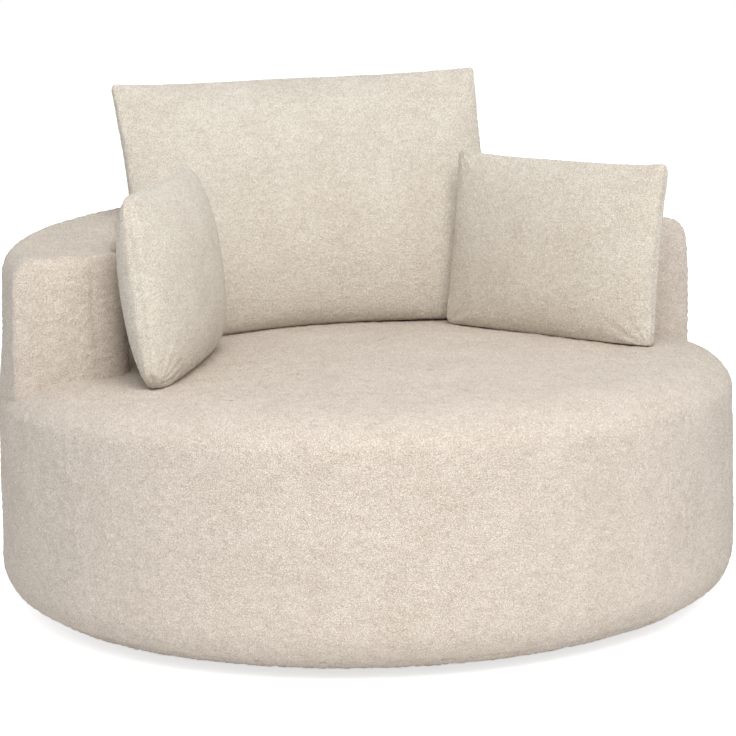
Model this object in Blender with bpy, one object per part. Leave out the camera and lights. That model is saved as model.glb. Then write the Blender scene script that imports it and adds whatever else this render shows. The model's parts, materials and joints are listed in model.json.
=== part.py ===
"""Round drum lounge chair: a padded drum seat, a half-ring back, three loose cushions, a swivel base.

Metres, +Z up. The floor is z = 0, the chair turns about the Z axis, and the back stands towards +Y.
An azimuth is measured from +Y towards +X, so the middle of the back is at azimuth 0.
"""

import math
from typing import NamedTuple

import bmesh
import bpy
import numpy as np
from mathutils import Matrix
from mathutils.bvhtree import BVHTree

# Fits and facets
CLEARANCE = 0.0003
SEGMENTS = 40
SMALL_SEGMENTS = 20
BOLT_SEGMENTS = 12
MERGE = 1e-6

# Drum seat, outside sizes of the fabric
DRUM_RADIUS = 0.65
SEAT_HEIGHT = 0.415
SEAT_CROWN = 0.022
RIM_ROUNDING = 0.05
HEM_ROUNDING = 0.075
HEM_HEIGHT = 0.015
HEM_TURN_UNDER = 0.12
FABRIC = 0.004
SIDE_PADDING = 0.03
SEAT_FOAM = 0.12
ARC_STEPS = 4
CROWN_STEPS = 4

# Half-ring back, outside sizes of the fabric
BACK_INSET = 0.02
BACK_HEIGHT = 0.631
BACK_RISE = 0.032
BACK_THICKNESS = 0.162
BACK_LEAN = math.radians(8.1)
BACK_HALF_ANGLE = math.radians(95.4)
BACK_OUTER_ROUNDING = 0.036
BACK_INNER_ROUNDING = 0.025
BACK_END_ROUNDING = 0.03
BACK_END_PADDING = 0.06
BACK_TOP_PADDING = 0.05
BACK_ARC_STEPS = 4

# Timber frame
BOARD = 0.018
LINER = 0.004
UPRIGHT_COUNT = 8
UPRIGHT_DEPTH = 0.03
UPRIGHT_WIDTH = 0.05
POST_COUNT = 6
POST_DEPTH = 0.06
POST_WIDTH = 0.04
RING_LEDGE = 0.03

# Seat suspension
STRAP_COUNT = 4
STRAP_WIDTH = 0.07
STRAP_THICKNESS = 0.0025
STRAP_PITCH = 0.12
STRAP_SETBACK = 0.004
STRAP_CROSSING_MARGIN = 0.004
PAD_THICKNESS = 0.004
DUST_CLOTH = 0.0012

# Swivel base
GLIDE_COUNT = 6
GLIDE_RADIUS = 0.02
GLIDE_HEIGHT = 0.006
GLIDE_TAPER = 0.003
GLIDE_INSET = 0.05
PLINTH_RADIUS = 0.46
PLATE_RADIUS = 0.15
PLATE_BORE = 0.09
PLATE_THICKNESS = 0.003
BALL_COUNT = 12
BALL_RADIUS = 0.004
BALL_CIRCLE = 0.12
CAGE_WIDTH = 0.02
CAGE_THICKNESS = 0.003
BOLT_RADIUS = 0.006
BOLT_HEAD_RADIUS = 0.011
BOLT_HEAD_HEIGHT = 0.004
BOLT_TIP = 0.004
BOLT_RUNNING_GAP = 0.001
WASHER_RADIUS = 0.016
WASHER_THICKNESS = 0.002
NUT_RADIUS = 0.012
NUT_HEIGHT = 0.008

# Loose cushions: sizes of the covers, then how each cushion stands
BACK_CUSHION_WIDTH = 0.723
BACK_CUSHION_HEIGHT = 0.503
BACK_CUSHION_DEPTH = 0.185
BACK_CUSHION_CORNER = 0.006
BACK_CUSHION_BEND = 0.119
BACK_CUSHION_TURN = math.radians(-0.8)
BACK_CUSHION_LEAN = math.radians(18.4)
BACK_CUSHION_TILT = math.radians(0.6)
BACK_CUSHION_SHIFT = 0.01
SIDE_CUSHION_WIDTH = 0.466
SIDE_CUSHION_HEIGHT = 0.335
SIDE_CUSHION_DEPTH = 0.12
SIDE_CUSHION_CORNER = 0.012
RIGHT_CUSHION_TURN = math.radians(-60.3)
RIGHT_CUSHION_LEAN = math.radians(6.8)
RIGHT_CUSHION_TILT = math.radians(-1.4)
RIGHT_CUSHION_GAP = 0.0113
RIGHT_CUSHION_STANDOFF = 0.014
LEFT_CUSHION_TURN = math.radians(60.2)
LEFT_CUSHION_LEAN = math.radians(5.6)
LEFT_CUSHION_TILT = math.radians(1.6)
LEFT_CUSHION_GAP = 0.0597
LEFT_CUSHION_STANDOFF = 0.0647
CUSHION_COLUMNS = 14
CUSHION_ROWS = 10
CUSHION_SIDE_DRAW = 0.035
CUSHION_TOP_DRAW = 0.055
CUSHION_BOTTOM_DRAW = 0.01
CUSHION_CROWN_POWER = 0.38
CUSHION_EDGE = 0.008
CUSHION_WALL = 0.0025
CUSHION_SEAM = 0.006
FILL_GAP = 0.0008
FILL_SEAM_GAP = 0.005
CUSHION_WALL_GAP = 0.004
ZIP_SHARE = 0.55
ZIP_HALF_WIDTH = 0.002
ZIP_SLOT_REACH = 0.004
ZIP_STATIONS = 9

# Colours: linear red, green and blue, roughness, metallic
BOUCLE = ((0.76, 0.67, 0.58), 0.95, 0.0)
FOAM = ((0.78, 0.72, 0.52), 0.9, 0.0)
FIBRE = ((0.85, 0.85, 0.83), 0.95, 0.0)
PLYWOOD = ((0.52, 0.34, 0.18), 0.6, 0.0)
PINE = ((0.62, 0.44, 0.25), 0.65, 0.0)
FIBREBOARD = ((0.36, 0.25, 0.15), 0.8, 0.0)
WEBBING = ((0.10, 0.10, 0.11), 0.85, 0.0)
FELT = ((0.30, 0.30, 0.31), 0.95, 0.0)
DUST_BLACK = ((0.02, 0.02, 0.02), 0.9, 0.0)
STEEL = ((0.55, 0.56, 0.58), 0.35, 1.0)
PLASTIC = ((0.03, 0.03, 0.03), 0.5, 0.0)
PAINTED_BOARD = ((0.05, 0.05, 0.05), 0.6, 0.0)
ZIP_TAPE = ((0.66, 0.58, 0.48), 0.7, 0.0)

# Heights, worked out from the floor up and from the seat down
PLINTH_BOTTOM = GLIDE_HEIGHT + CLEARANCE
PLINTH_TOP = PLINTH_BOTTOM + BOARD
LOWER_PLATE_BOTTOM = PLINTH_TOP + CLEARANCE
BALL_LEVEL = LOWER_PLATE_BOTTOM + PLATE_THICKNESS + CLEARANCE + BALL_RADIUS
UPPER_PLATE_BOTTOM = BALL_LEVEL + BALL_RADIUS + CLEARANCE
DECK_BOTTOM = UPPER_PLATE_BOTTOM + PLATE_THICKNESS + CLEARANCE
DECK_TOP = DECK_BOTTOM + BOARD
FOAM_BOTTOM = SEAT_HEIGHT - FABRIC - CLEARANCE - SEAT_FOAM
PAD_BOTTOM = FOAM_BOTTOM - CLEARANCE - PAD_THICKNESS
STRAP_SWING = (STRAP_THICKNESS + CLEARANCE) / 2
STRAP_LEVEL = PAD_BOTTOM - CLEARANCE - STRAP_THICKNESS / 2 - STRAP_SWING
RING_TOP = STRAP_LEVEL - STRAP_SWING - STRAP_THICKNESS / 2 - CLEARANCE
RING_BOTTOM = RING_TOP - BOARD
RAIL_TOP = BACK_HEIGHT - FABRIC - CLEARANCE - BACK_TOP_PADDING
RAIL_BOTTOM = RAIL_TOP - BOARD

# Radii, worked out from the drum's outside
FACET = 2 * math.pi / SEGMENTS
FLAT = math.cos(FACET / 2)
FOAM_INSET = FABRIC + CLEARANCE
FRAME_RADIUS = DRUM_RADIUS - FABRIC - SIDE_PADDING
LINER_INNER = FRAME_RADIUS - LINER
BACK_OUTER = DRUM_RADIUS - BACK_INSET
BACK_INNER = BACK_OUTER - BACK_THICKNESS
BACK_MIDDLE = BACK_OUTER - BACK_THICKNESS / 2
BACK_SLOPE = math.tan(BACK_LEAN)
BACK_TOP_WIDTH = BACK_THICKNESS - (BACK_HEIGHT + BACK_RISE - SEAT_HEIGHT) * BACK_SLOPE
INNER_ROUND_WIDTH = BACK_INNER_ROUNDING * (1 - math.sin(BACK_LEAN)) / math.cos(BACK_LEAN)
BACK_ROUND_WIDTH = BACK_OUTER_ROUNDING + INNER_ROUND_WIDTH
ROUND_SHARE = min(1.0, (BACK_TOP_WIDTH - CLEARANCE) / BACK_ROUND_WIDTH)
OUTER_CORNER = BACK_OUTER_ROUNDING * ROUND_SHARE
INNER_CORNER = BACK_INNER_ROUNDING * ROUND_SHARE
POST_INNER = BACK_MIDDLE - POST_DEPTH / 2
POST_OUTER = BACK_MIDDLE + POST_DEPTH / 2
POST_CORNER = math.hypot(POST_OUTER, POST_WIDTH / 2)
INNER_LINER_OUTER = POST_INNER - CLEARANCE
INNER_LINER_INNER = INNER_LINER_OUTER - LINER
OUTER_LINER_INNER = (POST_CORNER + CLEARANCE) / FLAT
OUTER_LINER_OUTER = OUTER_LINER_INNER + LINER
BACK_FRAME_HALF_ANGLE = BACK_HALF_ANGLE - BACK_END_PADDING / BACK_MIDDLE
RING_INNER = POST_INNER - RING_LEDGE
STRAP_REACH = POST_INNER - STRAP_SETBACK
DECK_BORE = (BOLT_RADIUS + BOLT_RUNNING_GAP) / FLAT
PLINTH_BORE = (BOLT_RADIUS + CLEARANCE) / FLAT
WASHER_BORE = (BOLT_RADIUS + CLEARANCE) / math.cos(math.pi / SMALL_SEGMENTS)
NUT_BORE = (BOLT_RADIUS + CLEARANCE) / math.cos(math.pi / 6)


def clear_scene():
    """Remove every object of the open scene."""
    for thing in list(bpy.data.objects):
        bpy.data.objects.remove(thing, do_unlink=True)


def finish_material(name, finish):
    """Give one piece its own plain material."""
    colour, roughness, metallic = finish
    material = bpy.data.materials.new(name)
    material.use_nodes = True
    shader = material.node_tree.nodes["Principled BSDF"]
    shader.inputs["Base Color"].default_value = (*colour, 1)
    shader.inputs["Roughness"].default_value = roughness
    shader.inputs["Metallic"].default_value = metallic
    return material


def axis_empty(name, matrix=None):
    """Mark a body's joint axis; the pieces of that body are its children."""
    empty = bpy.data.objects.new(name, None)
    bpy.context.scene.collection.objects.link(empty)
    empty.matrix_world = matrix or Matrix()
    return empty


def add_piece(name, bm, finish, parent):
    """Close a piece's mesh, face it outwards and hang it on its body."""
    bmesh.ops.remove_doubles(bm, verts=bm.verts, dist=MERGE)
    bmesh.ops.recalc_face_normals(bm, faces=bm.faces)
    if bm.calc_volume(signed=True) < 0:
        bmesh.ops.reverse_faces(bm, faces=bm.faces)
    mesh = bpy.data.meshes.new(name)
    bm.to_mesh(mesh)
    bm.free()
    mesh.shade_smooth()
    mesh.set_sharp_from_angle(angle=math.radians(35))
    piece = bpy.data.objects.new(name, mesh)
    bpy.context.scene.collection.objects.link(piece)
    piece.parent = parent
    if finish:
        mesh.materials.append(finish_material(name, finish))
    return piece


def shape_with(piece, tool, operation):
    """Cut a piece with a hidden tool, or join the tool to it."""
    tool.hide_render = True
    tool.display_type = "WIRE"
    change = piece.modifiers.new(operation.lower(), "BOOLEAN")
    change.operation = operation
    change.solver = "EXACT"
    change.object = tool


def turned_mesh(profile, segments):
    """Turn a closed outline of (radius, height) points about Z; points on the axis become poles."""
    bm = bmesh.new()
    rings = []
    for radius, height in profile:
        count = segments if radius > 0 else 1
        ring = []
        for step in range(count):
            azimuth = step * 2 * math.pi / segments
            ring.append(bm.verts.new((radius * math.sin(azimuth), radius * math.cos(azimuth), height)))
        rings.append(ring)
    for one, other in zip(rings, rings[1:] + rings[:1]):
        for step in range(segments):
            following = (step + 1) % segments
            corners = [one[step % len(one)], one[following % len(one)]]
            corners += [other[following % len(other)], other[step % len(other)]]
            face = list(dict.fromkeys(corners))
            if len(face) > 2:
                bm.faces.new(face)
    return bm


def turned(name, profile, finish, parent, segments=SEGMENTS):
    """Add a turned piece."""
    return add_piece(name, turned_mesh(profile, segments), finish, parent)


def ring_profile(inner, outer, bottom, top):
    """Outline of a flat ring, or of a disc where the inner radius is 0."""
    return [(inner, bottom), (outer, bottom), (outer, top), (inner, top)]


def loft_mesh(rings):
    """Skin a row of closed rings of points and cap both ends."""
    bm = bmesh.new()
    rows = [[bm.verts.new(point) for point in ring] for ring in rings]
    for row, following in zip(rows, rows[1:]):
        for index in range(len(row)):
            beside = (index + 1) % len(row)
            bm.faces.new((row[index], row[beside], following[beside], following[index]))
    bm.faces.new(rows[0])
    bm.faces.new(rows[-1])
    return bm


def at_azimuth(section, azimuth):
    """Stand a (radius, height) section up at an azimuth."""
    return [(r * math.sin(azimuth), r * math.cos(azimuth), z) for r, z in section]


def facet_azimuths(half_angle):
    """Azimuths of the drum's facet edges strictly inside plus and minus the half angle."""
    last = math.ceil(half_angle / FACET - 1e-9) - 1
    return [step * FACET for step in range(-last, last + 1)]


def sector_mesh(section, half_angle):
    """Carry a (radius, height) section round the back, with flat ends."""
    azimuths = [-half_angle] + facet_azimuths(half_angle) + [half_angle]
    return loft_mesh([at_azimuth(section, azimuth) for azimuth in azimuths])


def block_mesh(size, places):
    """Boxes of one size, each moved by its own matrix."""
    bm = bmesh.new()
    for place in places:
        bmesh.ops.create_cube(bm, size=1, matrix=place @ Matrix.Diagonal((*size, 1)))
    return bm


def upright_place(radius, azimuth, height):
    """A frame whose Y axis points outwards at an azimuth."""
    return Matrix.Rotation(-azimuth, 4, "Z") @ Matrix.Translation((0, radius, height))


def drum_top(inset):
    """Outline of the seat's crown and rounded rim, from the middle to the wall."""
    flat = DRUM_RADIUS - RIM_ROUNDING
    points = []
    for step in range(CROWN_STEPS):
        radius = flat * step / CROWN_STEPS
        rise = SEAT_CROWN * (1 + math.cos(math.pi * radius / flat)) / 2
        points.append((radius, SEAT_HEIGHT + rise - inset))
    for step in range(ARC_STEPS + 1):
        angle = math.pi / 2 * step / ARC_STEPS
        reach = RIM_ROUNDING - inset
        height = SEAT_HEIGHT - RIM_ROUNDING + reach * math.cos(angle)
        points.append((flat + reach * math.sin(angle), height))
    return points


def drum_hem(inset):
    """Outline of the rolled bottom edge, from the wall to its lowest line."""
    points = []
    for step in range(ARC_STEPS + 1):
        angle = math.pi / 2 * step / ARC_STEPS
        reach = HEM_ROUNDING - inset
        radius = DRUM_RADIUS - HEM_ROUNDING + reach * math.cos(angle)
        points.append((radius, HEM_HEIGHT + HEM_ROUNDING - reach * math.sin(angle)))
    return points


def seat_level(x, y):
    """Height of the faceted seat cover at points of the plan."""
    radius = np.hypot(x, y)
    turn = np.mod(np.arctan2(x, y), FACET) - FACET / 2
    outline = np.array(drum_top(0))
    return np.interp(radius * np.cos(turn) / FLAT, outline[:, 0], outline[:, 1])


def add_base(base):
    """Plinth, floor glides, the bearing's lower plate and the centre bolt with its nut."""
    place = PLINTH_RADIUS - GLIDE_INSET
    foot = [(0, 0), (GLIDE_RADIUS - GLIDE_TAPER, 0), (GLIDE_RADIUS, GLIDE_HEIGHT), (0, GLIDE_HEIGHT)]
    for number in range(GLIDE_COUNT):
        azimuth = 2 * math.pi * (number + 0.5) / GLIDE_COUNT
        glide = turned(f"floor_glide_{number + 1}", foot, PLASTIC, base, SMALL_SEGMENTS)
        glide.location = (place * math.sin(azimuth), place * math.cos(azimuth), 0)
    board = ring_profile(PLINTH_BORE, PLINTH_RADIUS, PLINTH_BOTTOM, PLINTH_TOP)
    turned("base_plinth", board, PAINTED_BOARD, base)
    plate = ring_profile(PLATE_BORE, PLATE_RADIUS, LOWER_PLATE_BOTTOM, LOWER_PLATE_BOTTOM + PLATE_THICKNESS)
    turned("swivel_lower_plate", plate, STEEL, base, SMALL_SEGMENTS)
    add_centre_bolt(base)


def add_centre_bolt(base):
    """The bolt on the swivel axis, which holds the drum down on its base."""
    head_top = PLINTH_BOTTOM - CLEARANCE
    head_bottom = head_top - BOLT_HEAD_HEIGHT
    washer_bottom = DECK_TOP + CLEARANCE
    nut_bottom = washer_bottom + WASHER_THICKNESS + CLEARANCE
    tip = nut_bottom + NUT_HEIGHT + BOLT_TIP
    bolt = [(0, head_bottom), (BOLT_HEAD_RADIUS, head_bottom), (BOLT_HEAD_RADIUS, head_top)]
    bolt += [(BOLT_RADIUS, head_top), (BOLT_RADIUS, tip), (0, tip)]
    turned("centre_bolt", bolt, STEEL, base, BOLT_SEGMENTS)
    washer = ring_profile(WASHER_BORE, WASHER_RADIUS, washer_bottom, washer_bottom + WASHER_THICKNESS)
    turned("centre_washer", washer, PLASTIC, base, SMALL_SEGMENTS)
    nut = ring_profile(NUT_BORE, NUT_RADIUS, nut_bottom, nut_bottom + NUT_HEIGHT)
    turned("centre_nut", nut, STEEL, base, 6)


def add_ball_cage(cage_axis):
    """The cage between the bearing's plates, with its balls."""
    inner = BALL_CIRCLE - CAGE_WIDTH / 2
    outer = BALL_CIRCLE + CAGE_WIDTH / 2
    strip = ring_profile(inner, outer, BALL_LEVEL - CAGE_THICKNESS / 2, BALL_LEVEL + CAGE_THICKNESS / 2)
    cage = turned("swivel_ball_cage", strip, STEEL, cage_axis, SMALL_SEGMENTS)
    balls = bmesh.new()
    for number in range(BALL_COUNT):
        place = upright_place(BALL_CIRCLE, 2 * math.pi * (number + 0.5) / BALL_COUNT, BALL_LEVEL)
        bmesh.ops.create_icosphere(balls, subdivisions=1, radius=BALL_RADIUS, matrix=place)
    shape_with(cage, add_piece("ball_tool", balls, None, cage_axis), "UNION")


def add_drum_frame(seat):
    """Deck board, uprights, seat ring, wall liner, dust cloth and the bearing's upper plate."""
    plate = ring_profile(PLATE_BORE, PLATE_RADIUS, UPPER_PLATE_BOTTOM, UPPER_PLATE_BOTTOM + PLATE_THICKNESS)
    turned("swivel_upper_plate", plate, STEEL, seat, SMALL_SEGMENTS)
    turned("deck_board", ring_profile(DECK_BORE, FRAME_RADIUS, DECK_BOTTOM, DECK_TOP), PLYWOOD, seat)
    hem_inner = DRUM_RADIUS - HEM_TURN_UNDER
    cloth_top = DECK_BOTTOM - CLEARANCE
    cloth = ring_profile(PLATE_RADIUS + CLEARANCE, hem_inner - CLEARANCE, cloth_top - DUST_CLOTH, cloth_top)
    turned("dust_cloth", cloth, DUST_BLACK, seat)
    reach = math.sqrt((LINER_INNER * FLAT - CLEARANCE) ** 2 - (UPRIGHT_WIDTH / 2) ** 2)
    foot = DECK_TOP + CLEARANCE
    size = (UPRIGHT_WIDTH, UPRIGHT_DEPTH, RING_BOTTOM - CLEARANCE - foot)
    for number in range(UPRIGHT_COUNT):
        azimuth = 2 * math.pi * number / UPRIGHT_COUNT
        place = upright_place(reach - UPRIGHT_DEPTH / 2, azimuth, foot + size[2] / 2)
        add_piece(f"frame_upright_{number + 1}", block_mesh(size, [place]), PINE, seat)
    ring = ring_profile(RING_INNER, LINER_INNER - CLEARANCE, RING_BOTTOM, RING_TOP)
    turned("seat_ring", ring, PLYWOOD, seat)
    liner = ring_profile(LINER_INNER, FRAME_RADIUS, DECK_TOP + CLEARANCE, RING_TOP)
    turned("wall_liner", liner, FIBREBOARD, seat)


def strap_mesh(offset, parity, along_y):
    """One woven strap: it rises and dips by half its thickness at each strap that it crosses."""
    reach = math.sqrt(STRAP_REACH ** 2 - (abs(offset) + STRAP_WIDTH / 2) ** 2)
    stations = [(-reach, -1)]
    for number in range(STRAP_COUNT):
        crossing = (number - (STRAP_COUNT - 1) / 2) * STRAP_PITCH
        side = 1 if (number + parity) % 2 else -1
        half = STRAP_WIDTH / 2 + STRAP_CROSSING_MARGIN
        stations += [(crossing - half, side), (crossing + half, side)]
    stations.append((reach, -1))
    rings = []
    for place, side in stations:
        level = STRAP_LEVEL + side * STRAP_SWING
        ring = []
        for across, up in ((-1, -1), (1, -1), (1, 1), (-1, 1)):
            beside = offset + across * STRAP_WIDTH / 2
            height = level + up * STRAP_THICKNESS / 2
            ring.append((beside, place, height) if along_y else (place, beside, height))
        rings.append(ring)
    return loft_mesh(rings)


def add_suspension(seat):
    """Woven webbing over the seat ring, and the felt pad on it."""
    for number in range(STRAP_COUNT):
        offset = (number - (STRAP_COUNT - 1) / 2) * STRAP_PITCH
        add_piece(f"webbing_across_{number + 1}", strap_mesh(offset, number, False), WEBBING, seat)
        add_piece(f"webbing_along_{number + 1}", strap_mesh(offset, number + 1, True), WEBBING, seat)
    pad = ring_profile(0, STRAP_REACH, PAD_BOTTOM, PAD_BOTTOM + PAD_THICKNESS)
    turned("webbing_pad", pad, FELT, seat)


def post_azimuths():
    """Azimuths of the back's posts, spread evenly between the ends of its frame."""
    end = BACK_FRAME_HALF_ANGLE - (POST_WIDTH / 2 + CLEARANCE) / POST_INNER
    return [end * (2 * number / (POST_COUNT - 1) - 1) for number in range(POST_COUNT)]


def post_places(bottom, top):
    """Size and places of the back's posts between two heights."""
    size = (POST_WIDTH, POST_DEPTH, top - bottom)
    middle = (top + bottom) / 2
    return size, [upright_place(BACK_MIDDLE, azimuth, middle) for azimuth in post_azimuths()]


def post_slot_tool(name, parent):
    """Cutter for the slots through which the back's posts pass the seat's upholstery."""
    size, places = post_places(FOAM_BOTTOM - BOARD, SEAT_HEIGHT + SEAT_CROWN + BOARD)
    size = (size[0] + 2 * CLEARANCE, size[1] + 2 * CLEARANCE, size[2])
    return add_piece(name, block_mesh(size, places), None, parent)


def add_drum_upholstery(seat):
    """Seat foam, side padding with its rolled edge, and the fabric over both."""
    toe = DRUM_RADIUS - HEM_TURN_UNDER
    hem_end = DECK_BOTTOM - CLEARANCE
    foam = [(0, FOAM_BOTTOM)] + drum_top(FOAM_INSET) + [(DRUM_RADIUS - FOAM_INSET, FOAM_BOTTOM)]
    foam_piece = turned("seat_foam", foam, FOAM, seat)
    shape_with(foam_piece, post_slot_tool("foam_slot_tool", seat), "DIFFERENCE")
    top = FOAM_BOTTOM - CLEARANCE
    side = [(FRAME_RADIUS + CLEARANCE, top), (DRUM_RADIUS - FOAM_INSET, top)] + drum_hem(FOAM_INSET)
    side += [(toe + FOAM_INSET, HEM_HEIGHT + FOAM_INSET), (toe + FOAM_INSET, hem_end)]
    side += [(FRAME_RADIUS + CLEARANCE, hem_end)]
    turned("side_padding", side, FOAM, seat)
    outer = drum_top(0) + drum_hem(0) + [(toe, HEM_HEIGHT), (toe, hem_end)]
    inner = drum_top(FABRIC) + drum_hem(FABRIC)
    inner += [(toe + FABRIC, HEM_HEIGHT + FABRIC), (toe + FABRIC, hem_end)]
    cover = turned("seat_cover", outer + inner[::-1], BOUCLE, seat)
    shape_with(cover, post_slot_tool("cover_slot_tool", seat), "DIFFERENCE")


def back_top(azimuth):
    """Height of the back's top, which rises from its ends to its middle."""
    return BACK_HEIGHT + BACK_RISE * np.cos(np.clip(azimuth, -math.pi / 2, math.pi / 2)) ** 2


def back_wall(height, draw):
    """Radius of the back's leaning inner wall at a height, drawn in square to the wall."""
    return BACK_INNER + (height - SEAT_HEIGHT) * BACK_SLOPE + draw / math.cos(BACK_LEAN)


def back_section(azimuth, draw, foot):
    """Rounded outline of the back at one azimuth, down to a foot that the drum cuts off.

    draw moves it inwards from the fabric's outside. The inner wall leans outwards as it rises.
    """
    outer = BACK_OUTER - draw
    top = back_top(azimuth) - draw
    far, near = (max(corner - draw, FABRIC) for corner in (OUTER_CORNER, INNER_CORNER))
    wall = back_wall(top - near, draw) + near / math.cos(BACK_LEAN)
    arcs = ((outer - far, far, 0, math.pi / 2), (wall, near, math.pi / 2, math.pi - BACK_LEAN))
    section = [(back_wall(foot, draw), foot), (outer, foot)]
    for centre, corner, start, end in arcs:
        for angle in np.linspace(start, end, BACK_ARC_STEPS + 1):
            section.append((centre + corner * math.cos(angle), top - corner + corner * math.sin(angle)))
    return section


def back_mesh(inset, foot):
    """The half-ring back, with both ends rounded over."""
    rounding = BACK_END_ROUNDING - inset
    end = BACK_HALF_ANGLE - inset / BACK_MIDDLE
    ends = []
    for step in range(BACK_ARC_STEPS + 1):
        angle = math.pi / 2 * step / BACK_ARC_STEPS
        azimuth = end - rounding * (1 - math.cos(angle)) / BACK_MIDDLE
        ends.append((azimuth, rounding * (1 - math.sin(angle))))
    stations = [(-azimuth, shrink) for azimuth, shrink in ends]
    stations += [(azimuth, 0.0) for azimuth in facet_azimuths(end - rounding / BACK_MIDDLE)]
    stations += ends[::-1]
    rings = []
    for azimuth, shrink in stations:
        rings.append(at_azimuth(back_section(azimuth, inset + shrink, foot), azimuth))
    return loft_mesh(rings)


def drum_tool(name, foot, parent):
    """Cutter that fits the back's foot to the seat's crown and rim."""
    seat = drum_top(-CLEARANCE)[:-1]
    beyond = DRUM_RADIUS + BOARD
    outline = [(0, foot - 2 * BOARD)] + seat + [(beyond, seat[-1][1]), (beyond, foot - 2 * BOARD)]
    return turned(name, outline, None, parent)


def add_back_frame(seat):
    """Posts, top rail and the two bent liners of the back."""
    size, places = post_places(RING_TOP + CLEARANCE, RAIL_BOTTOM - CLEARANCE)
    for number, place in enumerate(places):
        add_piece(f"back_post_{number + 1}", block_mesh(size, [place]), PINE, seat)
    rail = ring_profile(INNER_LINER_INNER, OUTER_LINER_OUTER, RAIL_BOTTOM, RAIL_TOP)
    add_piece("back_top_rail", sector_mesh(rail, BACK_FRAME_HALF_ANGLE), PLYWOOD, seat)
    liners = (("inner", INNER_LINER_INNER, INNER_LINER_OUTER),
              ("outer", OUTER_LINER_INNER, OUTER_LINER_OUTER))
    radii, heights = np.array(drum_top(-CLEARANCE)).T
    for side, near, far in liners:
        foot = float(np.interp(near, radii, heights))
        liner = ring_profile(near, far, foot, RAIL_BOTTOM - CLEARANCE)
        add_piece(f"back_{side}_liner", sector_mesh(liner, BACK_FRAME_HALF_ANGLE), FIBREBOARD, seat)


def add_back_upholstery(seat):
    """The back's foam, hollow for its frame, and the fabric over it."""
    foot = SEAT_HEIGHT - RIM_ROUNDING - BOARD
    foam = add_piece("back_foam", back_mesh(FOAM_INSET, foot), FOAM, seat)
    hollow = ring_profile(INNER_LINER_INNER - CLEARANCE, OUTER_LINER_OUTER + CLEARANCE,
                          foot - BOARD, RAIL_TOP + CLEARANCE)
    hollow_angle = BACK_FRAME_HALF_ANGLE + CLEARANCE / INNER_LINER_INNER
    tool = add_piece("back_hollow_tool", sector_mesh(hollow, hollow_angle), None, seat)
    shape_with(foam, tool, "DIFFERENCE")
    shape_with(foam, drum_tool("foam_foot_tool", foot, seat), "DIFFERENCE")
    cover = add_piece("back_cover", back_mesh(0.0, foot), BOUCLE, seat)
    tool = add_piece("back_cover_tool", back_mesh(FABRIC, foot - BOARD), None, seat)
    shape_with(cover, tool, "DIFFERENCE")
    shape_with(cover, drum_tool("cover_foot_tool", foot, seat), "DIFFERENCE")


class Cushion(NamedTuple):
    """Size of a loose cushion and the way that it stands on the seat."""

    name: str
    width: float
    height: float
    depth: float
    corner: float
    bend: float
    turn: float
    lean: float
    tilt: float
    shift: float
    gap: float
    standoff: float


def forward_bend(cushion, x):
    """Backward and upward moves of a cushion bent level with the seat, at places across its width."""
    reach = -cushion.bend * (2 * x / cushion.width) ** 2
    return reach * math.cos(cushion.lean), reach * math.sin(cushion.lean)


def cushion_sheets(cushion, seam, wall):
    """Front and rear sheets of a cushion on its foot: X across, Y backwards, Z up.

    The crown rises from the edge's thickness with ((1 - u^2)(1 - v^2)) to a power, the edges draw
    in between the corners, and the sides bend forwards with the square of their distance from
    the middle. The corners are rounded off by high powers of u and v, at which an edge has turned
    by 45 degrees where it meets the next. seam and wall move edges and sheets inwards.
    """
    u = np.sin(np.linspace(-1, 1, CUSHION_COLUMNS + 1) * math.pi / 2)[:, None]
    v = np.sin(np.linspace(-1, 1, CUSHION_ROWS + 1) * math.pi / 2)[None, :]
    draw = np.where(v > 0, CUSHION_TOP_DRAW, CUSHION_BOTTOM_DRAW)
    half_width, half_height = cushion.width / 2, cushion.height / 2
    side_cut = cushion.corner * np.abs(v) ** (half_height / cushion.corner)
    top_cut = cushion.corner * np.abs(u) ** (half_width / cushion.corner)
    x = (half_width - seam - side_cut) * u * (1 - CUSHION_SIDE_DRAW * (1 - v ** 2))
    z = half_height + (half_height - seam - top_cut) * v * (1 - draw * (1 - u ** 2))
    crown = np.clip((1 - u ** 2) * (1 - v ** 2), 0, 1) ** CUSHION_CROWN_POWER
    swell = CUSHION_EDGE / 2 - wall + (cushion.depth - CUSHION_EDGE) / 2 * crown
    back, up = forward_bend(cushion, x)
    return np.stack([x, back - swell, z + up], -1), np.stack([x, back + swell, z + up], -1)


def pillow_mesh(sheets):
    """Skin a front and a rear sheet and the narrow band between their edges."""
    bm = bmesh.new()
    grids = [[[bm.verts.new(point) for point in column] for column in sheet.tolist()] for sheet in sheets]
    for grid in grids:
        for column, beside in zip(grid, grid[1:]):
            for row in range(len(column) - 1):
                bm.faces.new((column[row], beside[row], beside[row + 1], column[row + 1]))
    edges = []
    for grid in grids:
        edge = [column[0] for column in grid] + grid[-1][1:]
        edge += [column[-1] for column in grid[-2::-1]] + grid[0][-2:0:-1]
        edges.append(edge)
    for index in range(len(edges[0])):
        bm.faces.new((edges[0][index - 1], edges[0][index], edges[1][index], edges[1][index - 1]))
    return bm


def seam_strip_mesh(cushion, half_length, half_width, low, high):
    """A strip along a cushion's bottom seam, between two heights above the seam."""
    rings = []
    for x in np.linspace(-half_length, half_length, ZIP_STATIONS):
        back, up = forward_bend(cushion, x)
        up += cushion.height / 2 * CUSHION_BOTTOM_DRAW * (1 - (2 * x / cushion.width) ** 2)
        corners = ((-1, low), (1, low), (1, high), (-1, high))
        rings.append([(x, back + side * half_width, up + level) for side, level in corners])
    return loft_mesh(rings)


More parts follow.
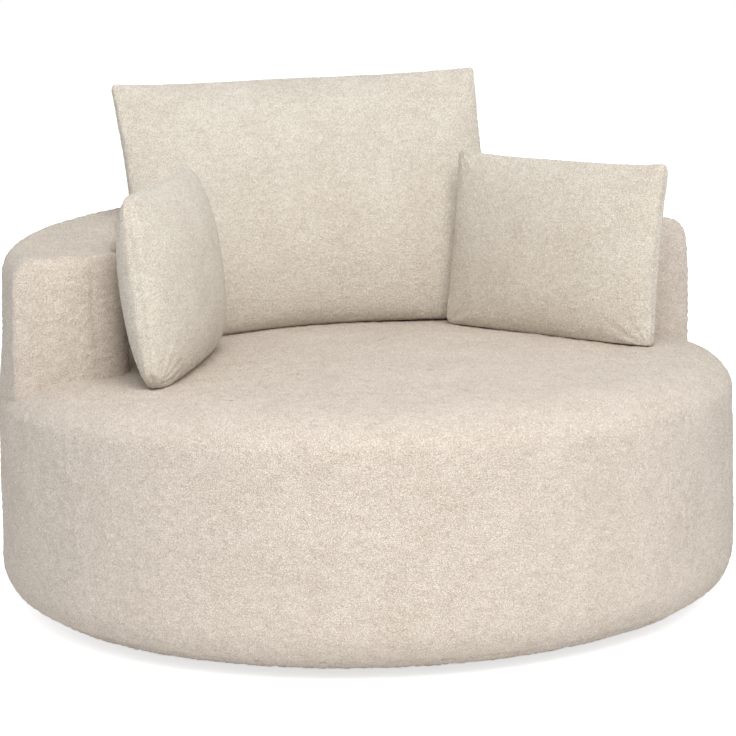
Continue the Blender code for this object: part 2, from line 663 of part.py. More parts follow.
def outside_back(points):
    """True where no point comes nearer to the back than the gap that the cushions keep."""
    x, y, z = points.T
    radius = np.hypot(x, y)
    azimuth = np.arctan2(x, y)
    along = (BACK_HALF_ANGLE - np.abs(azimuth)) * BACK_MIDDLE + CUSHION_WALL_GAP
    rounding = BACK_END_ROUNDING + CUSHION_WALL_GAP
    into = np.clip(rounding - along, 0, rounding)
    draw = rounding - np.sqrt(rounding ** 2 - into ** 2) - CUSHION_WALL_GAP
    corner = np.maximum(INNER_CORNER - draw, FABRIC)
    level = back_top(azimuth) - draw - corner
    across = radius - back_wall(level, draw) - corner / math.cos(BACK_LEAN)
    up = z - level
    rounded = (across < 0) & (up * math.cos(BACK_LEAN) + across * math.sin(BACK_LEAN) > 0)
    held = np.where(rounded, np.hypot(across, up) < corner, (radius > back_wall(z, draw)) & (up < corner))
    return not (held & (along > 0)).any()


def furthest(clear, reach):
    """Furthest place that stays clear, reached from 0 by halving steps."""
    place, step = 0.0, reach / 2
    while step > CLEARANCE:
        if clear(place + step):
            place += step
        step /= 2
    return place


def sheet_tree(points):
    """Search tree over a cushion's two sheets."""
    columns, rows = CUSHION_COLUMNS + 1, CUSHION_ROWS + 1
    index = np.arange(2 * columns * rows).reshape(2, columns, rows)
    corners = (index[:, :-1, :-1], index[:, 1:, :-1], index[:, 1:, 1:], index[:, :-1, 1:])
    faces = np.stack(corners, -1).reshape(-1, 4)
    return BVHTree.FromPolygons(points.tolist(), faces.tolist())


def apart(points, neighbour, gap):
    """True where a cushion's sheets keep a gap to another cushion."""
    if sheet_tree(points).overlap(neighbour):
        return False
    return all(neighbour.find_nearest(point)[3] > gap for point in points.tolist())


def sheet_points(cushion, stance):
    """Points of a cushion's sheets in a frame."""
    turned_frame = np.array(stance)
    points = np.concatenate([sheet.reshape(-1, 3) for sheet in cushion_sheets(cushion, 0.0, 0.0)])
    return points @ turned_frame[:3, :3].T + turned_frame[:3, 3]


def settle_cushion(cushion, neighbour):
    """Set a cushion on the seat and lean it on the back; returns its frame.

    It is pushed backwards for as long as it stays clear of the back, comes forwards again by its
    standoff, and stands on the seat's faceted crown with the clearance of touching pieces. A side
    cushion also comes in along its own width until it keeps its gap to the cushion beside it.
    """
    stance = Matrix.Rotation(cushion.turn, 4, "Z") @ Matrix.Rotation(-cushion.lean, 4, "X")
    stance = stance @ Matrix.Rotation(-cushion.tilt, 4, "Y")
    points = sheet_points(cushion, stance)
    sideways = np.array((math.cos(cushion.turn), math.sin(cushion.turn)))
    backwards = np.array((-math.sin(cushion.turn), math.cos(cushion.turn)))

    def foot_at(shift, push):
        plan = shift * sideways + push * backwards
        level = seat_level(points[:, 0] + plan[0], points[:, 1] + plan[1])
        return np.array((*plan, (level - points[:, 2]).max() + CLEARANCE))

    def leaning(shift):
        push = furthest(lambda push: outside_back(points + foot_at(shift, push)), DRUM_RADIUS)
        return foot_at(shift, push - cushion.standoff)

    def beside(inwards):
        return leaning(cushion.shift - math.copysign(inwards, cushion.shift))

    inwards = 0.0
    if neighbour:
        inwards = furthest(lambda way: apart(points + beside(way), neighbour, cushion.gap), DRUM_RADIUS)
    return Matrix.Translation(beside(inwards)) @ stance


def add_cushion(cushion, neighbour=None):
    """One loose cushion: its cover with a zip slot in the bottom seam, the zip and the fibre fill.

    Returns a search tree over its sheets, for the cushion that stands beside it.
    """
    frame = settle_cushion(cushion, neighbour)
    body = axis_empty(f"{cushion.name}_lift", frame)
    cover = add_piece(f"{cushion.name}_cover", pillow_mesh(cushion_sheets(cushion, 0.0, 0.0)), BOUCLE, body)
    hollow = pillow_mesh(cushion_sheets(cushion, CUSHION_SEAM, CUSHION_WALL))
    shape_with(cover, add_piece(f"{cushion.name}_hollow_tool", hollow, None, body), "DIFFERENCE")
    half_length = cushion.width * ZIP_SHARE / 2
    reach = CUSHION_SEAM + ZIP_SLOT_REACH
    slot = seam_strip_mesh(cushion, half_length, ZIP_HALF_WIDTH, -CUSHION_SEAM, reach)
    shape_with(cover, add_piece(f"{cushion.name}_slot_tool", slot, None, body), "DIFFERENCE")
    half_width = ZIP_HALF_WIDTH - CLEARANCE
    strip = seam_strip_mesh(cushion, half_length - CLEARANCE, half_width, CLEARANCE, CUSHION_SEAM)
    add_piece(f"{cushion.name}_zip", strip, ZIP_TAPE, body)
    fill = cushion_sheets(cushion, CUSHION_SEAM + FILL_SEAM_GAP, CUSHION_WALL + FILL_GAP)
    add_piece(f"{cushion.name}_fill", pillow_mesh(fill), FIBRE, body)
    return sheet_tree(sheet_points(cushion, frame))


def add_cushions():
    """The large back cushion, and a small cushion on each side that keeps its gap to it."""
    large = Cushion("back_cushion", BACK_CUSHION_WIDTH, BACK_CUSHION_HEIGHT, BACK_CUSHION_DEPTH,
                    BACK_CUSHION_CORNER, BACK_CUSHION_BEND, BACK_CUSHION_TURN, BACK_CUSHION_LEAN,
                    BACK_CUSHION_TILT, BACK_CUSHION_SHIFT, 0.0, 0.0)
    small = (SIDE_CUSHION_WIDTH, SIDE_CUSHION_HEIGHT, SIDE_CUSHION_DEPTH, SIDE_CUSHION_CORNER, 0.0)
    left = Cushion("left_cushion", *small, LEFT_CUSHION_TURN, LEFT_CUSHION_LEAN, LEFT_CUSHION_TILT,
                   -DRUM_RADIUS, LEFT_CUSHION_GAP, LEFT_CUSHION_STANDOFF)
    right = Cushion("right_cushion", *small, RIGHT_CUSHION_TURN, RIGHT_CUSHION_LEAN, RIGHT_CUSHION_TILT,
                    DRUM_RADIUS, RIGHT_CUSHION_GAP, RIGHT_CUSHION_STANDOFF)
    beside = add_cushion(large)
    add_cushion(left, beside)
    add_cushion(right, beside)


def main():
    """Build the chair body by body."""
    clear_scene()
    base = axis_empty("base")
    seat = axis_empty("seat_swivel")
    add_base(base)
    add_ball_cage(axis_empty("ball_cage_turn"))
    add_drum_frame(seat)
    add_suspension(seat)
    add_drum_upholstery(seat)
    add_back_frame(seat)
    add_back_upholstery(seat)
    add_cushions()
    bpy.context.view_layer.update()


main()
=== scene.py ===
"""Looks of a round drum lounge chair: looped-pile upholstery, stuffed cushions and plain inner finishes.

The packed solids are the frame. Surfaces worked out here stand for the soft ones, in the same place.
Metres, +Z up, back towards +Y; an azimuth is measured from +Y towards +X.
"""

import json
import math

import bpy
import numpy as np
from bpy.props import FloatProperty, FloatVectorProperty, PointerProperty
from mathutils import Matrix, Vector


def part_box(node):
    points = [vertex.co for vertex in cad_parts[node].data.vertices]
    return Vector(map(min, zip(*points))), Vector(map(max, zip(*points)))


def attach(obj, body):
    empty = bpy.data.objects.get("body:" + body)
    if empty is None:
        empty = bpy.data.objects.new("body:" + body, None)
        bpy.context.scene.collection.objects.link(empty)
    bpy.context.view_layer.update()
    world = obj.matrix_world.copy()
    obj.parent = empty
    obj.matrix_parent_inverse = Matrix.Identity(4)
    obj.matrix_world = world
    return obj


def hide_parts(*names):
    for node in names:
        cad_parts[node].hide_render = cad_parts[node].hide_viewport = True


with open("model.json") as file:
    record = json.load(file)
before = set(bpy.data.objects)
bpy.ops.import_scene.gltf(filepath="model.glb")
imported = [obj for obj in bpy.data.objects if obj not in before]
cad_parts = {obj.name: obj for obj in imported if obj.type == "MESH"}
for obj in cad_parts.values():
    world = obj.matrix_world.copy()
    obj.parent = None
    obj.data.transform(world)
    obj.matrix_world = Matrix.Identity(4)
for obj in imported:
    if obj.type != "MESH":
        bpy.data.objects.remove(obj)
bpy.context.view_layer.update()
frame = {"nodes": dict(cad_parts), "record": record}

bl_info = {
    "name": "Round drum lounge chair",
    "version": (1, 0, 0),
    "blender": (4, 5, 0),
    "location": "3D View > Sidebar > Lounge",
    "description": "Upholstery, cushions and finishes of a round lounge chair on its packed frame",
    "category": "Object",
}

PILE_SEED = 41
CUSHION_NAMES = ("back_cushion", "left_cushion", "right_cushion")
UP = np.array([0.0, 0.0, 1.0])
LOOPS, STRANDS, CLUMPS, NAP, DIMMING = 0.3, 0.7, 0.1, 0.08, 0.09  # weights in the fabric's colour
FLOOR_REACH, FLOOR_DROP, LAMP_AIM = 30.0, 0.0003, 0.4  # from the chair, below it and up its axis
SENSOR_WIDTH = 36


def length(name, default, about):
    """A size in metres."""
    return FloatProperty(name=name, description=about, default=default, unit="LENGTH", precision=4)


def angle(name, degrees, about):
    """An angle, written in degrees."""
    return FloatProperty(name=name, description=about, default=math.radians(degrees), subtype="ANGLE")


def share(name, default, about):
    """A plain factor from 0 to 1."""
    return FloatProperty(name=name, description=about, default=default, min=0, max=1, subtype="FACTOR")


def colour(name, default, about):
    """A linear colour."""
    return FloatVectorProperty(name=name, description=about, default=default, size=3, min=0, max=1,
                               subtype="COLOR")


def place(name, default, about):
    """A point in the chair's frame."""
    return FloatVectorProperty(name=name, description=about, default=default, size=3,
                               subtype="TRANSLATION", unit="LENGTH", precision=4)


class DrumSizes(bpy.types.PropertyGroup):
    """Outside of the drum's fabric."""

    radius: length("Radius", 0.65, "Radius of the drum's wall")
    rim: length("Rim height", 0.06, "Height of the seat's rounded rim")
    rim_reach: length("Rim reach", 0.12, "How far in from the wall the rim's rounding starts")
    wall_top: length("Wall top", 0.365, "Height at which the rim starts from the wall")
    crown: length("Crown", 0.012, "Rise of the seat's middle above its rim")
    taper: length("Taper", 0.003, "How much narrower the wall is at its top")
    hem: length("Hem rounding", 0.075, "Radius of the rolled bottom edge")
    lift: length("Hem height", 0.015, "Height of the rolled edge above the floor")
    turn_under: length("Turn under", 0.12, "How far the fabric reaches in below the drum")
    deck: length("Deck height", 0.0385, "Height at which the fabric is held to the deck")
    seam: angle("Hem seam", 47, "How far round the rolled edge its seam runs")
    seam_depth: length("Seam depth", 0.006, "How far the seam draws the rolled edge in")
    cell: length("Cell", 0.0065, "Spacing of the surface's points along its outline")


class BackSizes(bpy.types.PropertyGroup):
    """Outside of the half-ring back's fabric."""

    inset: length("Inset", 0.02, "How far the back's wall stands in from the drum's wall")
    height: length("Height", 0.631, "Height of the back's top at its ends")
    rise: length("Rise", 0.032, "How much higher the top is in the middle")
    thickness: length("Thickness", 0.162, "Thickness of the back at the seat")
    lean: angle("Lean", 8.1, "Lean of the inner wall")
    arm_start: angle("Arm start", 40, "Azimuth at which the back starts to thicken into its arms")
    arm_full: angle("Arm full", 62, "Azimuth from which the arms have their full thickness")
    arm_swell: length("Arm swell", 0.038, "How much thicker the arms are at the seat")
    arm_upright: share("Arm upright", 0.75, "Share of the inner wall's lean that the arms lack")
    half_angle: angle("Half angle", 97.0, "Azimuth of the back's ends")
    outer_rounding: length("Outer rounding", 0.041, "Radius along the top's outer edge")
    inner_rounding: length("Inner rounding", 0.025, "Radius along the top's inner edge")
    foot: length("Foot", 0.415, "Height at which the back has that thickness")
    end_rounding: length("End rounding", 0.07, "Radius round the ends' inner edges")
    end_edge: length("End edge", 0.025, "Radius round the ends' outer edges and tops")
    end_slant: angle("End slant", 4.2, "How much further back the ends' outer edges stand")
    end_fade: angle("End fade", 16, "How far from the ends the slant starts")
    end_dome: length("End dome", 0.006, "How far the ends swell between their edges")
    cell: length("Cell", 0.0048, "Spacing of the surface's points")


def cushion_group(name, about, width, height, depth, corner, bend, turn, lean, tilt, foot):
    """A group of one loose cushion's sizes, with its own defaults."""
    sizes = {
        "width": length("Width", width, "Width between the side seams' ends"),
        "height": length("Height", height, "Height between the corners"),
        "depth": length("Depth", depth, "Thickness in the middle"),
        "corner": length("Corner", corner, "How much the corners are rounded off"),
        "bend": length("Bend", bend, "How far the sides come forwards"),
        "turn": angle("Turn", turn, "Turn about the upright"),
        "lean": angle("Lean", lean, "Lean to the back"),
        "tilt": angle("Tilt", tilt, "Tilt in its own plane"),
        "foot": place("Foot", foot, "Middle of the bottom seam"),
    }
    return type(name, (bpy.types.PropertyGroup,), {"__doc__": about, "__annotations__": sizes})


BackCushion = cushion_group(
    "BackCushion", "The large cushion against the back.", width=0.723, height=0.503, depth=0.185,
    corner=0.003, bend=0.119, turn=-0.8, lean=18.4, tilt=0.6, foot=(0.01457, 0.32737, 0.42559))
LeftCushion = cushion_group(
    "LeftCushion", "The small cushion on the left, seen from in front.", width=0.466, height=0.335,
    depth=0.145, corner=0.018, bend=0.0, turn=60.2, lean=5.6, tilt=1.6, foot=(-0.33803, -0.02878, 0.42278))
RightCushion = cushion_group(
    "RightCushion", "The small cushion on the right, seen from in front.", width=0.466, height=0.335,
    depth=0.12, corner=0.005, bend=0.0, turn=-60.3, lean=6.8, tilt=-1.4, foot=(0.36066, 0.01462, 0.42202))


class StuffingSizes(bpy.types.PropertyGroup):
    """What the loose cushions' shapes share."""

    side_draw: share("Side draw", 0.035, "How far the sides draw in between the corners")
    top_draw: share("Top draw", 0.062, "How far the top draws in between the corners")
    bottom_draw: share("Bottom draw", 0.01, "How far the bottom draws in between the corners")
    crown: share("Crown", 0.42, "Power of the crown at the bottom; the lower, the fuller the edge")
    side_crown: share("Side crown", 0.5, "The same power at the sides")
    top_crown: share("Top crown", 0.54, "The same power at the top, where the stuffing has sunk")
    edge: length("Edge", 0.008, "Thickness left at the seams")
    seam_depth: length("Seam depth", 0.0025, "How far the seam is drawn in")
    seam_width: length("Seam width", 0.005, "Reach of that on either side of the seam")
    tuck: length("Tuck", 0.0008, "Depth of the tucks at the corners")
    tuck_reach: length("Tuck reach", 0.022, "Distance from a corner at which its tucks are deepest")
    slack: length("Slack", 0.004, "What the crown lacks before the cover is blown up")
    voxel: length("Voxel", 0.006, "Cell of the remeshed cover")
    swell: length("Swell", 0.014, "Most that the blown-up cover may move")


class DustCloth(bpy.types.PropertyGroup):
    """The cloth stapled under the deck."""

    rim: length("Rim", 0.5297, "Outer radius of the cloth")
    hole: length("Hole", 0.1503, "Radius of the hole round the swivel")
    sag: length("Sag", 0.003, "How far it hangs down between its edges")


class Fabric(bpy.types.PropertyGroup):
    """The looped-pile fabric."""

    tips: colour("Loop tips", (0.97, 0.88, 0.79), "Colour of the loops' tips")
    # Partly painted shade: the loops darken towards this colour between them; the strands' random tones also
    # run to it
    roots: colour("Loop roots", (0.5, 0.415, 0.335), "Colour between the loops")
    loop: length("Loop", 0.0015, "Size of one loop")
    pile: length("Pile", 0.0015, "Unevenness of the pile's outline")
    # Painted light: makes the cushions' copy of the fabric lighter, standing in for the light that falls on
    # them
    cushion_painted_light: FloatProperty(name="Cushion painted light", default=1.09,
                                description="How much lighter the cushions' fabric is")


class StageSettings(bpy.types.PropertyGroup):
    """Camera and light."""

    distance: length("Camera distance", 4.2, "Level distance from the swivel axis to the camera")
    camera_height: length("Camera height", 1.1006, "Height of the camera")
    camera_turn: angle("Camera turn", 20, "Turn of the view about the swivel axis")
    pitch: angle("Pitch", math.degrees(0.1665), "How far the camera looks down")
    yaw: angle("Yaw", math.degrees(0.0013), "How far the camera looks aside")
    roll: angle("Roll", math.degrees(-0.0224), "Roll of the camera")
    focal: FloatProperty(name="Focal length", description="On a 36 mm frame", default=117.02,
                         subtype="DISTANCE_CAMERA")
    sky: FloatProperty(name="Sky", description="Strength of the even light from all round", default=0.70)
    sky_tone: colour("Sky tone", (0.93, 0.97, 1.0), "Colour of that light")
    key: FloatProperty(name="Key", description="Watts of the large lamp in front", default=142.0)
    key_tone: colour("Key tone", (1.0, 0.975, 0.935), "Colour of the lamp")
    key_size: length("Key size", 2.6, "Width of the lamp")
    key_place: place("Key place", (0.6, -3.1, 3.45), "Lamp's place: across the view, along it and up")
    floor_glow: share("Floor glow", 0.68, "Light that the floor adds for the camera alone")


GROUPS = {
    "drum": DrumSizes, "back": BackSizes, "back_cushion": BackCushion, "left_cushion": LeftCushion,
    "right_cushion": RightCushion, "stuffing": StuffingSizes, "dust_cloth": DustCloth, "fabric": Fabric,
    "stage": StageSettings,
}


class LoungeSettings(bpy.types.PropertyGroup):
    """All that a user may change."""

    __annotations__ = {name: PointerProperty(type=group) for name, group in GROUPS.items()}


def maths(operation, reflected=False):
    """An operator of Value that adds a Math node; a reflected one has the other value first."""
    def method(self, other):
        first, second = (other, self) if reflected else (self, other)
        return self.paint.node("ShaderNodeMath", {"operation": operation}, {0: first, 1: second})
    return method


class Value:
    """A socket of a node, with the arithmetic that the finishes use."""

    def __init__(self, paint, socket):
        self.paint = paint
        self.socket = socket

    __add__, __radd__ = maths("ADD"), maths("ADD", reflected=True)
    __sub__, __rsub__ = maths("SUBTRACT"), maths("SUBTRACT", reflected=True)
    __mul__, __rmul__ = maths("MULTIPLY"), maths("MULTIPLY", reflected=True)
    __or__ = maths("MAXIMUM")


class Paint:
    """The nodes of a material or of the world, written as expressions."""

    def __init__(self, owner, shader="Principled BSDF"):
        owner.use_nodes = True
        self.owner = owner
        self.tree = owner.node_tree
        self.shader = self.tree.nodes[shader]

    def node(self, kind, settings=None, inputs=None, output=0):
        """Add a node: its settings first, then the values or links of its sockets."""
        made = self.tree.nodes.new(kind)
        for key, value in (settings or {}).items():
            setattr(made, key, value)
        for key, value in (inputs or {}).items():
            self.feed(made.inputs[key], value)
        return Value(self, made.outputs[output])

    def feed(self, socket, value):
        """Link a value to a socket, or set a number or colour on it."""
        if isinstance(value, Value):
            self.tree.links.new(value.socket, socket)
        else:
            socket.default_value = (*value, 1.0) if socket.type == "RGBA" else value

    def place(self):
        """The point in the chair's frame."""
        return self.node("ShaderNodeTexCoord", output="Object")

    def noise(self, where, scale, detail=2.0, roughness=0.5, output="Fac"):
        inputs = {"Vector": where, "Scale": scale, "Detail": detail, "Roughness": roughness}
        return self.node("ShaderNodeTexNoise", None, inputs, output)

    def mix(self, factor, first, second):
        inputs = {0: factor, 6: first, 7: second}
        return self.node("ShaderNodeMix", {"data_type": "RGBA"}, inputs, 2)

    def shift(self, where, by, amount):
        """Move a point by a colour's distance from grey."""
        centred = self.node("ShaderNodeVectorMath", {"operation": "SUBTRACT"}, {0: by, 1: (0.5, 0.5, 0.5)})
        scaled = self.node("ShaderNodeVectorMath", {"operation": "SCALE"}, {0: centred, "Scale": amount})
        return self.node("ShaderNodeVectorMath", {"operation": "ADD"}, {0: where, 1: scaled})

    def mapped(self, where, **values):
        return self.node("ShaderNodeMapping", None, {"Vector": where, **values})

    def ramp(self, factor, low, high):
        """0 up to low, 1 from high on, and straight between."""
        inputs = {"Value": factor, "From Min": low, "From Max": high}
        return self.node("ShaderNodeMapRange", {"clamp": True}, inputs)

    def set(self, **values):
        """Set or link the shader's sockets; an underscore stands for a space."""
        for key, value in values.items():
            self.feed(self.shader.inputs[key.replace("_", " ")], value)

    def bump(self, height, strength, distance):
        inputs = {"Height": height, "Strength": strength, "Distance": distance}
        self.set(Normal=self.node("ShaderNodeBump", None, inputs))


def boucle(name, fabric, offset, tone=1.0):
    """Looped-pile fabric.

    The loops are smooth cells of one loop's size whose places are stirred by noise, and smaller cells
    with a tone each are their strands. Colour runs from the roots to the tips with both. Clumps that lie
    along the fabric's level rows, and broad soft noise where the pile lies another way, change it a little.
    tone makes all of it lighter or darker.
    """
    paint = Paint(bpy.data.materials.new(name))
    where = paint.mapped(paint.place(), Location=offset)
    stir = paint.noise(where, scale=0.45 / fabric.loop, output="Color")
    curled = paint.shift(where, stir, amount=2.0 * fabric.loop)
    whole = {"Vector": curled, "Scale": 1 / fabric.loop, "Smoothness": 0.3}
    knots = paint.node("ShaderNodeTexVoronoi", {"feature": "SMOOTH_F1"}, whole, "Distance")
    smaller = {"Vector": curled, "Scale": 1.25 / fabric.loop}
    strands = paint.node("ShaderNodeTexVoronoi", None, smaller, "Color")
    loops = paint.ramp(0.95 - knots, low=0.2, high=0.8)
    rows = paint.noise(paint.mapped(where, Scale=(0.7, 0.7, 1.5)), scale=75.0)
    clumps = paint.ramp(rows, low=0.3, high=0.7)
    nap = paint.ramp(paint.noise(where, scale=12.0, detail=3.0, roughness=0.55), low=0.3, high=0.7)
    # The loops' share is painted shade between the loops and a lighter tone on their tips; strands, clumps
    # and nap are the fabric's own tones
    light = loops * LOOPS + strands * STRANDS + clumps * CLUMPS + nap * NAP - DIMMING
    roots, tips = (tuple(min(tone * part, 1) for part in shade) for shade in (fabric.roots, fabric.tips))
    paint.set(Base_Color=paint.mix(paint.ramp(light, low=0.15, high=0.85), roots, tips))
    paint.set(Roughness=0.96, Sheen_Weight=0.1, Sheen_Roughness=0.6, Specular_IOR_Level=0.15)
    paint.bump(loops, strength=0.8, distance=0.0016)
    return paint.owner


def mesh_piece(name, points, *faces):
    """A mesh object from an array of points and arrays of faces, shaded smooth."""
    mesh = bpy.data.meshes.new(name)
    mesh.from_pydata(points.tolist(), [], sum((array.tolist() for array in faces), []))
    if mesh.validate():
        raise RuntimeError(f"{name} has faces that don't hold")
    mesh.shade_smooth()
    piece = bpy.data.objects.new(name, mesh)
    bpy.context.scene.collection.objects.link(piece)
    return piece


def grid_quads(rows, columns, round_columns=False, round_rows=False):
    """Faces between neighbours of a grid of points; a round grid joins its last ones to its first."""
    row = np.arange(rows if round_rows else rows - 1)[:, None]
    column = np.arange(columns if round_columns else columns - 1)[None, :]
    after, beside = (row + 1) % rows, (column + 1) % columns
    near, far = row * columns, after * columns
    quads = [near + column, near + beside, far + beside, far + column]
    return np.stack(np.broadcast_arrays(*quads), -1).reshape(-1, 4)


def table_quads(table):
    """Faces between neighbours of a table of point numbers."""
    corners = (table[:-1, :-1], table[:-1, 1:], table[1:, 1:], table[1:, :-1])
    return np.stack(corners, -1).reshape(-1, 4)


def resample(outline, cell=None, count=None, fine=()):
    """Points spread evenly along a line of points, a cell apart or to a set number, ends kept.

    fine gives further places along the line, where a detail needs points of its own.
    """
    step = np.linalg.norm(np.diff(outline, axis=0), axis=1)
    along = np.concatenate([[0], np.cumsum(step)])
    places = np.linspace(0, along[-1], count or max(2, round(along[-1] / cell) + 1))
    places = np.sort(np.concatenate([places, fine]))
    return np.stack([np.interp(places, along, column) for column in outline.T], -1)


def arc(centre, radius, start, end, count):
    """Points on arcs of (radius, height) outlines, between two angles; centres may be columns."""
    turn = np.linspace(start, end, count)
    reach, height = centre[0] + radius * np.cos(turn), centre[1] + radius * np.sin(turn)
    return np.stack(np.broadcast_arrays(reach, height), -1)


def lumps(points, size, seed, waves=7):
    """Smooth unevenness, mostly from -1 to 1: plane waves of about one length in seeded directions."""
    rng = np.random.default_rng(seed)
    total = np.zeros(len(points))
    for _ in range(waves):
        way = rng.normal(size=3)
        way *= 2 * math.pi / (size * rng.uniform(0.7, 1.5) * np.linalg.norm(way))
        total += np.sin(points @ way + rng.uniform(0, 2 * math.pi))
    return total / waves ** 0.5


def uneven(points, waves):
    """Sum of lumps, each given as its depth, its size and its seed."""
    return sum(depth * lumps(points, size, seed) for depth, size, seed in waves)


def mesh_rows(mesh, name):
    """A mesh's points or normals as an array."""
    rows = np.empty(len(mesh.vertices) * 3, np.float32)
    mesh.vertices.foreach_get(name, rows)
    return rows.reshape(-1, 3).astype(float)


def move_to(mesh, points):
    """Put a mesh's points where an array says."""
    mesh.vertices.foreach_set("co", points.astype(np.float32).ravel())
    mesh.update()


def ruffle(piece, pile, seed):
    """Move each point along its normal by seeded normal noise, cut off at the pile's depth."""
    rise = np.clip(np.random.default_rng(seed).normal(size=len(piece.data.vertices)), -2, 2) * pile / 2
    move_to(piece.data, mesh_rows(piece.data, "co") + mesh_rows(piece.data, "normal") * rise[:, None])


def dress(piece, body, material, slot, *nodes):
    """Give a piece its finish, its body and the solids that it stands for."""
    piece.data.materials.clear()
    piece.data.materials.append(material)
    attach(piece, body)
    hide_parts(*nodes)


def outwards(points):
    """Level directions away from the swivel axis."""
    radius = np.hypot(points[:, 0], points[:, 1])
    return np.column_stack([points[:, :2] / np.maximum(radius, 1e-6)[:, None], 0 * radius])


def seat_flat(drum):
    """Radius at which the seat's rim starts."""
    return drum.radius - drum.taper - drum.rim_reach


def seat_level(drum, x, y):
    """Height of the seat at points of the plan: a cosine crown, then a quarter ellipse down to the wall."""
    radius = np.hypot(x, y)
    flat = seat_flat(drum)
    crown = drum.rim + drum.crown * (1 + np.cos(np.pi * np.clip(radius / flat, 0, 1))) / 2
    over = np.clip((radius - flat) / drum.rim_reach, 0, 1)
    return drum.wall_top + np.where(radius < flat, crown, drum.rim * np.sqrt(1 - over ** 2))


def drum_side(drum, above_seam=0.0025, below_seam=0.03):
    """Outline of the drum from the rim's start to the deck: rim, wall, rolled hem and turn under.

    The rim is a quarter ellipse and the hem a quarter circle. Its seam draws it in by an exponential of
    the distance from it, which fades out over a short way above the seam and a longer one below.
    """
    turn = np.linspace(0, math.pi / 2, 40)[:, None]
    flat = seat_flat(drum)
    rim = np.concatenate([flat + drum.rim_reach * np.sin(turn), drum.wall_top + drum.rim * np.cos(turn)], 1)
    round_hem = np.linspace(0, -math.pi / 2, 120)
    below = -(round_hem + drum.seam) * drum.hem
    draw = drum.seam_depth * np.exp(np.where(below > 0, -below / below_seam, below / above_seam))
    reach, middle = drum.hem - draw, (drum.radius - drum.hem, drum.lift + drum.hem)
    hem = np.stack([middle[0] + reach * np.cos(round_hem), middle[1] + reach * np.sin(round_hem)], -1)
    toe = drum.radius - drum.turn_under
    return np.concatenate([rim, hem, [(toe, drum.lift), (toe, drum.deck)]])


def drum_inside(drum, wall=0.004):
    """Outline of the cover's inside, a wall's thickness in, from the deck up to the crown, as few points."""
    toe = drum.radius - drum.turn_under + wall
    hem = arc((drum.radius - drum.hem, drum.lift + drum.hem), drum.hem - wall, -math.pi / 2, 0, 5)
    shares = np.array([1, 0.98, 0.93, 0.86, 0.7, 0.5, 0.3, 0.1])
    reach = (drum.radius - drum.taper - wall) * shares
    top = np.stack([reach, seat_level(drum, reach + wall, 0.0) - wall], -1)
    return np.concatenate([[(toe, drum.deck), (toe, drum.lift + wall)], hem, top])


def disc_points(count, radius):
    """An even grid over a disc: squares about the middle become circles, corners spread to eighths."""
    a, b = np.meshgrid(np.linspace(-1, 1, count), np.linspace(-1, 1, count), indexing="ij")
    wide = np.abs(a) > np.abs(b)
    reach = np.where(wide, a, b)
    with np.errstate(divide="ignore", invalid="ignore"):
        turn = np.where(wide, math.pi / 4 * b / a, math.pi / 2 - math.pi / 4 * a / b)
    turn = np.nan_to_num(turn)
    return np.stack([radius * reach * np.cos(turn), radius * reach * np.sin(turn)], -1).reshape(-1, 2)


class LOUNGE_OT_drum(bpy.types.Operator):
    """Cover the drum: an even disc grid for the seat's crown, then the side outline turned about Z"""

    bl_idname = "lounge.drum"
    bl_label = "Drum upholstery"
    waves = ((0.0011, 0.32, 5), (0.0006, 0.12, 6))
    settled = 0.0012
    beside_seam = (-0.008, -0.004, -0.0015, 0.0015, 0.004, 0.008)

    def execute(self, context):
        settings = context.scene.lounge
        drum = settings.drum
        count = 2 * round(2 * math.pi * drum.radius / drum.cell / 8) + 1
        columns = 4 * (count - 1)
        plan = disc_points(count, seat_flat(drum))
        top = np.column_stack([plan, seat_level(drum, plan[:, 0], plan[:, 1])])
        index = np.arange(count * count).reshape(count, count)
        edge = np.concatenate([index[0, :-1], index[:-1, -1], index[-1, :0:-1], index[:0:-1, 0]])
        edge = edge[np.argsort(np.mod(np.arctan2(plan[edge, 0], plan[edge, 1]) + 1e-6, 2 * math.pi))]
        azimuth = np.arange(columns) * 2 * math.pi / columns
        outer = resample(drum_side(drum), drum.cell, fine=self.hem_seam(drum))[1:]
        outline = np.concatenate([outer, drum_inside(drum)])
        ring = np.stack([np.sin(azimuth), np.cos(azimuth)], -1)
        side = np.concatenate([outline[:, None, :1] * ring, np.repeat(outline[:, None, 1:], columns, 1)], -1)
        centre = (0, 0, outline[-1, 1])
        points = np.concatenate([top, side.reshape(-1, 3), [centre]])
        start = len(top)
        first = start + np.arange(columns)
        join = np.stack([edge, np.roll(edge, -1), np.roll(first, -1), first], -1)
        walls = start + grid_quads(len(outline), columns, round_columns=True)
        quads = np.concatenate([grid_quads(count, count)[:, ::-1], join, walls])
        last = first + (len(outline) - 1) * columns
        fan = np.stack([last, np.roll(last, -1), np.full(columns, len(points) - 1)], -1)
        shaped = start + len(outer) * columns
        points[:shaped] += self.unevenness(drum, points[:shaped])
        piece = mesh_piece("drum_upholstery", points, quads, fan)
        ruffle(piece, settings.fabric.pile, PILE_SEED)
        material = boucle("drum boucle", settings.fabric, offset=(0.0, 0.0, 0.0))
        dress(piece, "seat", material, "boucle_fabric", "seat_cover", "seat_foam", "side_padding")
        return {"FINISHED"}

    def hem_seam(self, drum):
        """Places along the side's outline just beside the hem's seam."""
        rise, reach = drum.rim, drum.rim_reach
        rim = math.pi * math.sqrt((rise ** 2 + reach ** 2) / 2) / 2
        wall = math.hypot(drum.wall_top - drum.lift - drum.hem, drum.taper)
        return rim + wall + drum.hem * drum.seam + np.array(self.beside_seam)

    def unevenness(self, drum, points):
        """Hand upholstery: soft waves, outwards on the wall and upwards on the seat, settled a little."""
        on_top = np.clip((points[:, 2] - drum.wall_top) / drum.rim, 0, 1)[:, None]
        wave = (uneven(points, self.waves) - self.settled)[:, None]
        return wave * (on_top * UP + (1 - on_top) * outwards(points))


